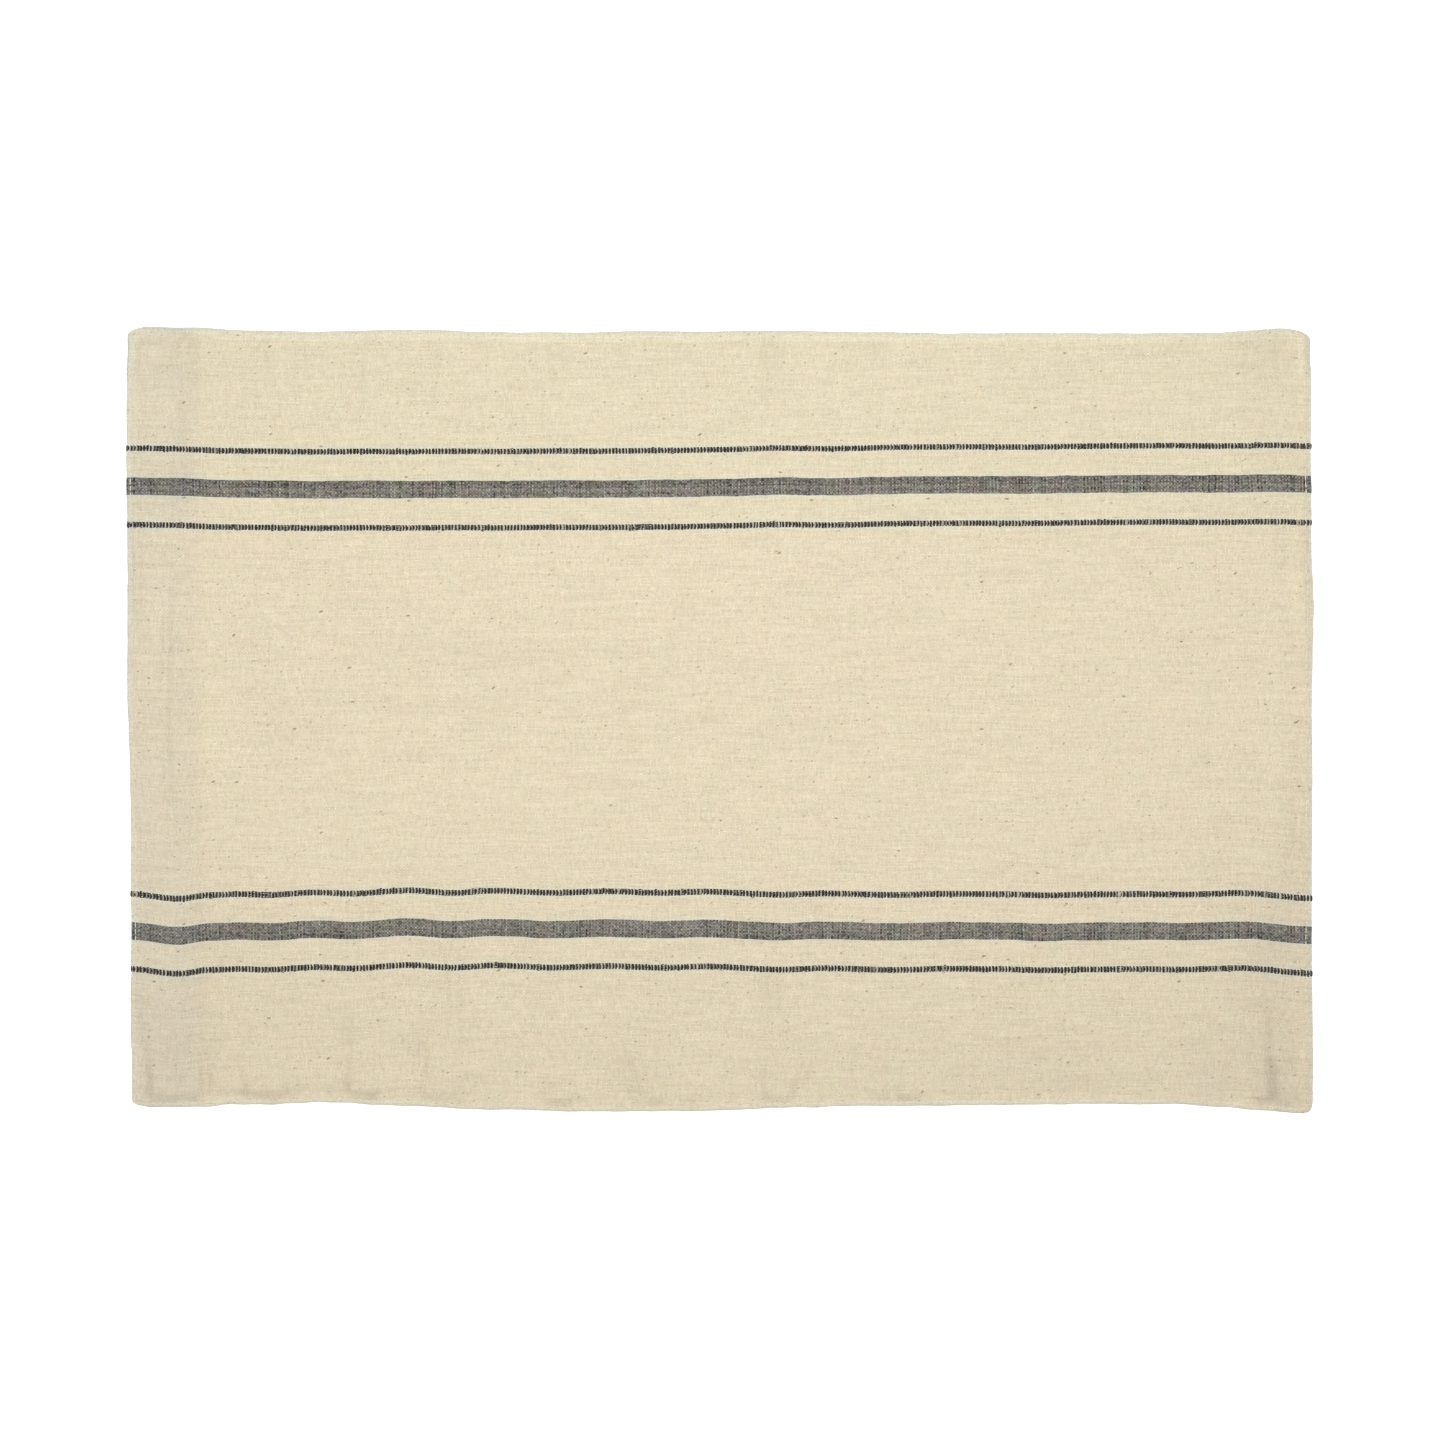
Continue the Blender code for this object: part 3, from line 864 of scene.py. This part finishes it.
def make_cotton_material():
    """The cloth: cream warp, cream or charcoal weft, flecks, a darker border, and painted shade
    and light.
    """
    material, tree, shader = new_material("striped_cotton")
    u, v, threads = read_map(tree, "threads")
    seam, across, _ = read_map(tree, "hem")
    steep, shade, _ = read_map(tree, "wear")

    # The threads, and which of them are charcoal.
    warp, weft = thread_count(u, v, threads)
    end, pick = warp.maths("FLOOR"), weft.maths("FLOOR")
    banded = sum(in_row(pick, middle, BAND_PICKS / 2) for middle in (0, -PICKS_BETWEEN_BANDS))
    corded = sum(in_row(v, middle_of(cord), cord.width / 2) for cord in CORDS)
    charcoal = banded + corded
    fuller = (chance_of(end, pick) - 0.5) * FULLNESS_VARIETY + BAND_FULLNESS
    fullness = banded * fuller + corded * CORD_FULLNESS
    height, weft_shows, hollow, warp_tone, weft_tone, grain = plain_weave(
        warp, weft, fullness, corded
    )
    fuzz_tone, fuzz_height = fuzzy(threads, 0.085)

    # The colour of each thread.
    band_tone = heather(u, weft, end, pick)
    pick_tone = noise(joined(u * 0.02, pick * 9.7)).varied(CORD_VARIETY)
    warp_tint = blended(banded, CREAM_WARP, toned(SHADED_BAND_WARP, band_tone))
    warp_colour = toned(warp_tint, warp_tone.varied(WARP_VARIETY))
    cream_weft = toned(CREAM_WEFT, weft_tone.varied(WEFT_VARIETY))
    cord_weft = toned(CHARCOAL, pick_tone)
    dark_weft = blended(banded, cord_weft, toned(BAND_WEFT, band_tone))
    weft_colour = blended(charcoal, cream_weft, dark_weft)
    colour = blended(weft_shows, warp_colour, weft_colour)
    colour = blended(hollow * 0.6, colour, darkened(colour, HOLLOW_SHADE))
    mottle = noise(threads, scale=0.04, detail=2.0).varied(MOTTLE)
    tone = fuzz_tone * mottle * grain.varied(CROSSING_TO_CROSSING) * greyer_picks(u, v)
    colour = toned(colour, tone)

    # Husks, a little more of them along the near edge, and the smaller bits of lint.
    husk_share = v.ramp(-188.0, -168.0, 0.33, 0.30)
    husk = flecks(u, v, threads, spacing=11.0, share=husk_share, size=0.38)
    lint = flecks(u, v, threads, spacing=5.0, share=0.55, size=0.27)
    colour = blended(husk * HUSK_SHOWS, colour, HUSK)
    colour = blended(lint * LINT_SHOWS, colour, HUSK)

    # Tints, and painted shade and light: in the groove, on steep walls and by place.
    for share, tint in tints_of_parts(v, seam, across, charcoal):
        colour = darkened(colour, blended(share, WHITE, tint))
    # Painted shade in the seam's groove.
    groove = seam.maths("ABSOLUTE").falling(0.0, 0.9)
    # Painted shade on the steep walls of folds, uneven along them.
    slope_shade = steep * (noise(threads, scale=0.12, detail=2.0) * SLOPE_SHADE_STRENGTH - 0.02)
    paler = seam.ramp(0.6, 4.0, INSIDE_SEAM_PALER, 0.0)
    colour = toned(colour, 1 - (groove * GROOVE_SHADE + slope_shade - paler))
    hue = charcoal * CHARCOAL_HUE + CREAM_HUE
    redder = (noise(threads, scale=0.11) - 0.5) * hue
    bluer = (noise(joined(u + 900, v), scale=0.11) - 0.5) * hue
    # Painted shade, greyer and a little bluer, where the cloth is painted darker by place, and
    # painted light where it is painted paler.
    red, green = 1 - shade + redder, 1 - shade - redder * 0.5
    blue = 1 - shade * 0.7 + bluer * 1.3
    colour = darkened(colour, from_parts(red, green, blue))

    finish_surface(shader, colour, height + fuzz_height, 0.7, fuzz_tone * 0.3 + 0.6)
    fill(shader, Sheen_Weight=0.12, Sheen_Roughness=0.5)
    return material


def fit_piece(name, mesh, material):
    """A piece of the mat in its material, which goes where the mat goes."""
    mesh.materials.append(material)
    piece = put_in_scene(name, mesh)
    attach(piece, "root")
    return piece


cloth_mesh = two_panels()
shape_cloth(cloth_mesh)
cloth = fit_piece("striped_cloth", cloth_mesh, make_cotton_material())
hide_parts("placemat_cloth")


# ----------------------------------------------------------
# The corded stripes. Four charcoal yarns lie together in one shed, so they stand up
# as a cord that passes over one warp end and under the next, all along the mat, and
# round its edge. Each stripe is its row of yarn floats and its row of warp crossings.

YARNS_IN_CORD = 4
ENDS_PER_FLOAT = 2
FLOAT_LENGTH = 1.06
FLOAT_HEIGHT = 0.50
FLOAT_RISE = 0.02
MIDDLE_YARN_LENGTH = 1.09
SHORTER_OUTWARDS = 0.25
ROWS_OVERLAP = 0.93
CORD_ROUNDNESS = 0.05

# How unevenly the yarns lie: each float's place along the mat, its lean, its fullness and
# its place across the cord, and then each yarn's row, length, thickness and width in it.
PLACE_VARIETY = 0.10
LEAN_VARIETY = 0.05
SWELL_VARIETY = 0.15
WANDER_VARIETY = 0.12
ROW_VARIETY = 0.06
LENGTH_VARIETY = 0.12
THICKNESS_VARIETY = 0.08
WIDTH_VARIETY = 0.06

CROSSING_PAST_CORD = -0.10
CROSSING_WIDTH = 0.345
CROSSING_HEIGHT = 0.50
CROSSING_WIDTH_VARIETY = 0.54
CROSSING_LENGTH_VARIETY = 0.05

# How far round the edge the floats go, and where they start to tuck in under it, which
# keeps them off the table.
PAST_EDGE = 1.7
CLEAR_OF_ROLL = 2.0
AROUND_YARN = 0.15
LOW_PART = 0.3

CORD_COLOUR = (0.0293, 0.0302, 0.034, 1.0)
# The warp crossings are darker than the cream ground: partly painted shade between the floats,
# and partly grey from the charcoal fibres.
SHADED_CROSSING_COLOUR = (0.39, 0.35, 0.265, 1.0)


def yarn_lump(around=8, along=5, bluntness=4):
    """A short closed length of yarn with round ends, one long, one wide and one high."""
    bm = bmesh.new()
    bmesh.ops.create_uvsphere(bm, u_segments=around, v_segments=along, radius=0.5)
    bmesh.ops.rotate(bm, verts=bm.verts, matrix=Matrix.Rotation(pi / 2, 3, "Y"))
    for vertex in bm.verts:
        out = np.hypot(vertex.co.y, vertex.co.z)
        if out > 1e-4:
            full = 0.5 * (1 - abs(2 * vertex.co.x) ** bluntness) ** (1 / 2)
            vertex.co.y *= full / out
            vertex.co.z *= full / out
    return mesh_from(bm, "lump")


def many_of(lump, name, count, shape_points):
    """One mesh of many copies of a lump, whose points shape_points moves, copy by copy."""
    points = read_points(lump)
    shaped = shape_points(np.repeat(points[None], count, 0))
    sizes = [len(face.vertices) for face in lump.polygons]
    corners = np.array([i for face in lump.polygons for i in face.vertices])
    all_corners = corners[None] + np.arange(count)[:, None] * len(points)
    mesh = bpy.data.meshes.new(name)
    mesh.vertices.add(count * len(points))
    mesh.loops.add(all_corners.size)
    mesh.polygons.add(count * len(sizes))
    mesh.vertices.foreach_set("co", (shaped.reshape(-1, 3) * MM).ravel())
    mesh.loops.foreach_set("vertex_index", all_corners.ravel().astype(np.int32))
    starts = np.cumsum([0] + sizes * count)[:-1]
    mesh.polygons.foreach_set("loop_start", starts.astype(np.int32))
    mesh.update(calc_edges=True)
    along = np.tile(points[corners, 0], count)
    turned = np.tile(np.arctan2(points[corners, 1], points[corners, 2]) / (2 * pi), count)
    give_map(mesh, "yarn", along + np.repeat(np.arange(count) * 2, len(corners)), turned)
    mesh.shade_smooth()
    return mesh


def on_the_face(x, y, above):
    """Points on the cloth's face, or above it, carried round its side edges to the table."""
    inner_x = np.clip(x, CLEAR_OF_ROLL - WIDTH / 2, WIDTH / 2 - CLEAR_OF_ROLL)
    straight_x, straight_y = before_laying(inner_x, y)
    straight_x = straight_x + x - inner_x
    side = np.sign(straight_x)
    flat_part = WIDTH / 2 - EDGE_ROLL
    over = np.maximum(np.abs(straight_x) - flat_part, 0)
    turn = over / ((EDGE_ROLL + EDGE_MIDDLE) / 2 + AROUND_YARN)
    full = face_height(np.clip(straight_x, -flat_part, flat_part), straight_y)
    rolled_x = flat_part + (EDGE_ROLL + above) * np.sin(turn)
    rolled_z = EDGE_MIDDLE + (full - EDGE_MIDDLE + above) * np.cos(turn)
    tucked_z = LOW_PART * np.exp(rolled_z / LOW_PART - 1)
    rolled_z = np.where(rolled_z < LOW_PART, tucked_z, rolled_z)
    straight_x = np.where(over > 0, side * np.minimum(rolled_x, WIDTH / 2), straight_x)
    there_x, there_y = laid_out(straight_x, straight_y)
    beyond = np.where(over > 0, side * np.maximum(rolled_x - WIDTH / 2, 0), 0)
    return np.stack([there_x + beyond, there_y, np.where(over > 0, rolled_z, full + above)], -1)


def cord_floats(cord, chance):
    """Where each float of a corded stripe is, and how it leans, swells and wanders."""
    count = int((WIDTH + 2 * PAST_EDGE) / (ENDS_PER_FLOAT * WARP_PITCH))
    places = (np.arange(count) - (count - 1) / 2) * ENDS_PER_FLOAT * WARP_PITCH
    places = places + chance.normal(0, PLACE_VARIETY, count)
    lean = chance.normal(0, LEAN_VARIETY, count)
    swell = chance.normal(1.0, SWELL_VARIETY, count)
    wander = chance.normal(0, WANDER_VARIETY, count)
    return places, lean, swell, wander


def make_cord_yarns(cord, chance):
    """The charcoal floats of one corded stripe, four yarns to each."""
    floats = cord_floats(cord, chance)
    place, lean, swell, wander = (np.repeat(values, YARNS_IN_CORD) for values in floats)
    copies = len(place)
    row = np.tile(np.arange(YARNS_IN_CORD) - (YARNS_IN_CORD - 1) / 2, len(floats[0]))
    row = row + chance.normal(0, ROW_VARIETY, copies)
    length = FLOAT_LENGTH * (MIDDLE_YARN_LENGTH - SHORTER_OUTWARDS * np.abs(row))
    length = length * chance.normal(1.0, LENGTH_VARIETY, copies) * swell
    thick = FLOAT_HEIGHT * chance.normal(1.0, THICKNESS_VARIETY, copies)
    yarn_width = cord.width / YARNS_IN_CORD
    width = yarn_width * chance.normal(1.0, WIDTH_VARIETY, copies)
    sag = CORD_ROUNDNESS * np.abs(row) ** 2
    from_row = row * yarn_width * ROWS_OVERLAP * swell

    def shape(points):
        x = place[:, None] + points[..., 0] * length[:, None] + (from_row * lean)[:, None]
        up = read_along(cord.band, x) + cord.offset
        y = up + from_row[:, None] + wander[:, None] + points[..., 1] * width[:, None]
        above = FLOAT_RISE - sag[:, None] + points[..., 2] * thick[:, None]
        return on_the_face(x, y, above)

    return many_of(yarn_lump(), f"cord_{cord.name}", copies, shape)


def make_warp_crossings(cord, chance):
    """The cream warp ends that hold the cord down, between its floats."""
    places, lean, _, _ = cord_floats(cord, chance)
    between = (places[1:] + places[:-1]) / 2
    lean = (lean[1:] + lean[:-1]) / 2
    count = len(between)
    width = CROSSING_WIDTH * chance.lognormal(0, CROSSING_WIDTH_VARIETY, count)
    length = cord.width + CROSSING_PAST_CORD
    length = length * chance.normal(1.0, CROSSING_LENGTH_VARIETY, count)

    def shape(points):
        along = points[..., 0] * length[:, None]
        x = between[:, None] + points[..., 1] * width[:, None] + along * lean[:, None]
        y = read_along(cord.band, x) + cord.offset + along
        above = FLOAT_RISE + points[..., 2] * CROSSING_HEIGHT
        return on_the_face(x, y, above)

    return many_of(yarn_lump(), f"crossings_{cord.name}", count, shape)


def make_yarn_material(name, colour, variety, each, twist):
    """Spun cotton yarn with its twist and its fuzz. Variety is how much its tone changes
    along it, and each is how much it changes from one float or stitch to the next."""
    material, tree, shader = new_material(name)
    numbered, turned, _ = read_map(tree, "yarn")
    number = ((numbered + 1) * 0.5).maths("FLOOR")
    along = numbered - number * 2
    own_tone = chance_of(number, 0.5)
    place = node_with("ShaderNodeNewGeometry", tree=tree)["Position"]
    scaling = {"operation": "SCALE"}
    in_mm = node_with("ShaderNodeVectorMath", scaling, Vector=place, Scale=1 / MM)["Vector"]
    fuzz_tone, fuzz_height = fuzzy(in_mm, 0.35)
    strands = ((along * twist + turned * 3 + own_tone) * (2 * pi)).maths("SINE")
    length_tone = noise(in_mm, scale=0.16, detail=3.0)
    tone = fuzz_tone * length_tone.varied(variety) * (strands * 0.08 + 1.0)
    shaded = toned(colour, tone * own_tone.varied(each))
    height = strands * 0.03 + fuzz_height
    finish_surface(shader, shaded, height, 0.5, fuzz_tone * 0.2 + 0.65)
    fill(shader, Sheen_Weight=0.08)
    return material


cord_yarn = make_yarn_material("charcoal_yarn", CORD_COLOUR, variety=1.0, each=1.1, twist=1.5)
warp_yarn = make_yarn_material("cream_warp", SHADED_CROSSING_COLOUR, variety=0.3, each=0.9, twist=4.0)
raised_pieces = []
for seed, cord in enumerate(CORDS, start=20):
    yarns = make_cord_yarns(cord, np.random.default_rng(seed))
    crossings = make_warp_crossings(cord, np.random.default_rng(seed))
    raised_pieces += [
        fit_piece(yarns.name, yarns, cord_yarn),
        fit_piece(crossings.name, crossings, warp_yarn),
    ]


# ----------------------------------------------------------
# The edge stitching. One row of lockstitch in cream cotton thread goes all round, a
# little in from the edge, through every layer, and shows on the face and on the back.

STITCH_PITCH = 2.58
STITCH_LENGTH = 2.25
THREAD_THICKNESS = 0.42
THREAD_FLATNESS = 0.9
STITCH_RISE = 0.06
STITCH_DIP = 0.24
STITCH_LENGTH_VARIETY = 0.05
STITCH_SLIP = 0.05
STITCH_SKEW = 0.03
THREAD_VARIETY = 0.05
THREAD_COLOUR = (0.80, 0.72, 0.54, 1.0)


def seam_places():
    """The middle, the heading and the length of each stitch, side by side round the mat."""
    left, right = -WIDTH / 2 + SEAM_IN_FROM_LEFT, WIDTH / 2 - SEAM_IN_FROM_RIGHT
    low, high = -LENGTH / 2 + SEAM_IN_FROM_BOTTOM, LENGTH / 2 - SEAM_IN_FROM_TOP
    turns = [(left, low), (right, low), (right, high), (left, high), (left, low)]
    rows = []
    for (x0, y0), (x1, y1) in zip(turns, turns[1:]):
        way = np.array([x1 - x0, y1 - y0])
        length = np.hypot(*way)
        count = round(length / STITCH_PITCH)
        for i in range(count):
            middle = np.array([x0, y0]) + way * (i + 0.5) / count
            rows.append((*middle, *(way / length), length / count / STITCH_PITCH))
    return np.array(rows)


def make_stitches(name, floor, outwards, chance):
    """All the stitches on one side of the mat: floor gives the height of the groove."""
    rows = seam_places()
    count = len(rows)
    length = STITCH_LENGTH * rows[:, 4] * chance.normal(1.0, STITCH_LENGTH_VARIETY, count)
    slip = chance.normal(0, STITCH_SLIP, count)
    skew = chance.normal(0, STITCH_SKEW, count)
    thick = THREAD_THICKNESS * chance.normal(1.0, THREAD_VARIETY, count)

    def shape(points):
        bend = 1 - (2 * points[..., 0]) ** 2
        along = points[..., 0] * length[:, None]
        across = points[..., 1] * thick[:, None] + slip[:, None] + along * skew[:, None]
        x = rows[:, 0, None] + along * rows[:, 2, None] - across * rows[:, 3, None]
        y = rows[:, 1, None] + along * rows[:, 3, None] + across * rows[:, 2, None]
        half_round = points[..., 2] * thick[:, None] * THREAD_FLATNESS
        rise = STITCH_RISE - STITCH_DIP * (1 - bend) ** 2 + half_round
        there_x, there_y = laid_out(x, y)
        return np.stack([there_x, there_y, floor(x, y) + outwards * rise], -1)

    return many_of(yarn_lump(around=8, along=8), name, count, shape)


def groove_on_face(x, y):
    """The height of the face along the seam, without the groove's own curve across it."""
    return plain_height(x, y) - GROOVE_DEPTH


def groove_on_back(x, y):
    """The height of the back along the seam."""
    return np.full(np.shape(x), UNDERSIDE_GROOVE_DEPTH)


thread = make_yarn_material("sewing_thread", THREAD_COLOUR, variety=0.15, each=0.10, twist=7.0)
for name, floor, outwards, seed in (
    ("edge_stitching_face", groove_on_face, 1, 31),
    ("edge_stitching_back", groove_on_back, -1, 32),
):
    stitches = make_stitches(name, floor, outwards, np.random.default_rng(seed))
    raised_pieces.append(fit_piece(name, stitches, thread))


# ----------------------------------------------------------
# The table that the mat lies on, a plain white surface, and the soft light over it:
# one wide lamp almost straight above the mat, and a pale room all round.

TABLE_SIZE = 8.0
TABLE_GAP = 0.1 * MM
TABLE_COLOUR = (0.92, 0.92, 0.92, 1.0)
LAMP_WIDTH = 0.8
LAMP_DEPTH = 0.24
LAMP_PLACE = (0.0, 0.22, 1.05)
LAMP_POWER = 11.0
ROOM_LIGHT = 0.28
TABLE_GLOW = 0.70

bm = bmesh.new()
bmesh.ops.create_grid(bm, x_segments=8, y_segments=8, size=TABLE_SIZE / 2)
table = put_in_scene("table", mesh_from(bm, "table"))
table.location.z = cloth_low.z - TABLE_GAP
white_table, _, shader = new_material("white_table")
fill(shader, Base_Color=TABLE_COLOUR, Roughness=0.9, Specular_IOR_Level=0.1)
fill(shader, Emission_Color=TABLE_COLOUR, Emission_Strength=TABLE_GLOW)
table.data.materials.append(white_table)

room = bpy.data.worlds.new("room")
room.use_nodes = True
bpy.context.scene.world = room
seen = node_with("ShaderNodeLightPath", tree=room.node_tree)["Is Camera Ray"]
brightness = seen * (1.0 - ROOM_LIGHT) + ROOM_LIGHT
fill(room.node_tree.nodes["Background"], Color=WHITE, Strength=brightness)

light = bpy.data.lights.new("lamp", "AREA")
light.shape = "RECTANGLE"
light.size = LAMP_WIDTH
light.size_y = LAMP_DEPTH
light.energy = LAMP_POWER
lamp = put_in_scene("lamp", light)
lamp.location = LAMP_PLACE
lamp.rotation_euler = (-Vector(LAMP_PLACE)).to_track_quat("-Z", "Y").to_euler()
